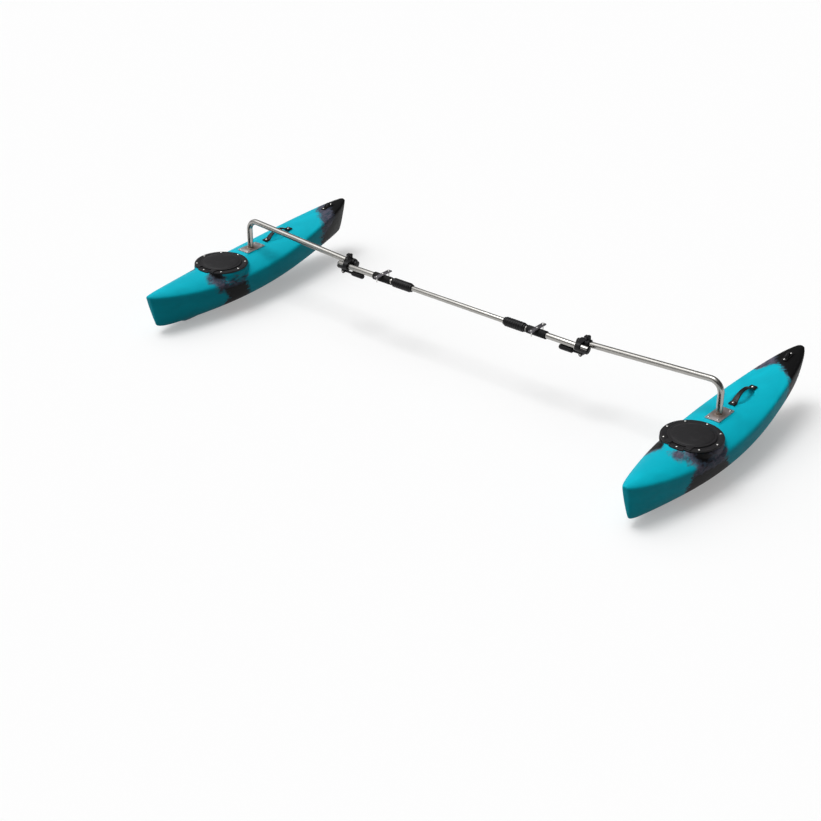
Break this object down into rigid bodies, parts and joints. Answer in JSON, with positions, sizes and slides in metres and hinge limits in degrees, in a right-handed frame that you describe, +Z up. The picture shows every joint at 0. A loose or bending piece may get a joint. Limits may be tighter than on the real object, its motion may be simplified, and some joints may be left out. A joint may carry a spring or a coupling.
{
  "type": "kayak outrigger",
  "caption": "Hollow kayak outrigger floats on bent steel arms that clamp to a telescopic crossbar, each float with a hinged round hatch and a strap handle.",
  "frame": {"origin": "on the ground between the two keels, under the middle of the crossbar's width and midway between bows and sterns", "axes": "+X across the kayak along the crossbar, +Y towards the sterns, +Z up"},
  "size_m": [2.322, 1.09, 0.3062],
  "materials": {
    "hull_plastic": "rotomoulded polyethylene, satin, teal that fades to black at the stern and round the hatch",
    "hatch_plastic": "moulded, fine grain, near black",
    "black_plastic": "moulded, satin",
    "black_rubber": "matt",
    "polished_stainless": "polished tube",
    "plate_stainless": "brushed plate, tinted by the weld",
    "screw_stainless": "bright"
  },
  "bodies": {
    "crossbar": {"middle_tube": "polished_stainless"},
    "right_bar_end": {"right_end_tube": "polished_stainless", "right_end_plug": "black_plastic", "right_lock_collar": "black_plastic", "right_gunwale_sleeve": "black_rubber", "right_gunwale_strap": "plate_stainless", "right_strap_screw_front": "screw_stainless", "right_strap_screw_middle": "screw_stainless", "right_strap_screw_back": "screw_stainless", "right_clamp_body": "black_plastic", "right_clamp_shoe": "black_rubber", "right_lever_pin": "screw_stainless", "right_pinch_bolt": "screw_stainless", "right_pinch_nut": "screw_stainless"},
    "right_lever": {"right_clamp_lever": "black_plastic"},
    "right_float": {"right_arm_tube": "polished_stainless", "right_arm_cap": "black_plastic", "right_base_plate": "plate_stainless", "right_float_hull": "hull_plastic", "right_deck_handle": "black_plastic", "right_pad_eye": "black_plastic", "right_hatch_flange": "hatch_plastic", "right_hatch_gasket": "black_rubber", "right_hinge_pin_inner": "screw_stainless", "right_hinge_pin_outer": "screw_stainless"},
    "right_lid": {"right_hatch_lid": "hatch_plastic"},
    "left_bar_end": {"left_end_tube": "polished_stainless", "left_end_plug": "black_plastic", "left_lock_collar": "black_plastic", "left_gunwale_sleeve": "black_rubber", "left_gunwale_strap": "plate_stainless", "left_strap_screw_front": "screw_stainless", "left_strap_screw_middle": "screw_stainless", "left_strap_screw_back": "screw_stainless", "left_clamp_body": "black_plastic", "left_clamp_shoe": "black_rubber", "left_lever_pin": "screw_stainless", "left_pinch_bolt": "screw_stainless", "left_pinch_nut": "screw_stainless"},
    "left_lever": {"left_clamp_lever": "black_plastic"},
    "left_float": {"left_arm_tube": "polished_stainless", "left_arm_cap": "black_plastic", "left_base_plate": "plate_stainless", "left_float_hull": "hull_plastic", "left_deck_handle": "black_plastic", "left_pad_eye": "black_plastic", "left_hatch_flange": "hatch_plastic", "left_hatch_gasket": "black_rubber", "left_hinge_pin_inner": "screw_stainless", "left_hinge_pin_outer": "screw_stainless"},
    "left_lid": {"left_hatch_lid": "hatch_plastic"}
  },
  "joints": [
    {"name": "right_bar_extension", "type": "slide", "parent": "crossbar", "child": "right_bar_end", "axis": [1, 0, 0], "range_m": [-0.1, 0.1]},
    {"name": "right_clamp_lever_turn", "type": "hinge", "parent": "right_bar_end", "child": "right_lever", "pos_m": [0.532, -0.028, 0.2395], "axis": [0, -1, 0], "range_deg": [0, 100]},
    {"name": "right_float_pitch", "type": "hinge", "parent": "right_bar_end", "child": "right_float", "pos_m": [0.484, 0, 0.264], "axis": [0.9982, 0, 0.06], "range_deg": [-30, 30]},
    {"name": "right_hatch_hinge", "type": "hinge", "parent": "right_float", "child": "right_lid", "pos_m": [1.05, -0.252, 0.1702], "axis": [1, 0, 0], "range_deg": [0, 110]},
    {"name": "left_bar_extension", "type": "slide", "parent": "crossbar", "child": "left_bar_end", "axis": [-1, 0, 0], "range_m": [-0.1, 0.1]},
    {"name": "left_clamp_lever_turn", "type": "hinge", "parent": "left_bar_end", "child": "left_lever", "pos_m": [-0.532, -0.028, 0.2395], "axis": [0, 1, 0], "range_deg": [0, 100]},
    {"name": "left_float_pitch", "type": "hinge", "parent": "left_bar_end", "child": "left_float", "pos_m": [-0.484, 0, 0.264], "axis": [0.9982, 0, -0.06], "range_deg": [-30, 30]},
    {"name": "left_hatch_hinge", "type": "hinge", "parent": "left_float", "child": "left_lid", "pos_m": [-1.05, -0.252, 0.1702], "axis": [1, 0, 0], "range_deg": [0, 110]}
  ]
}
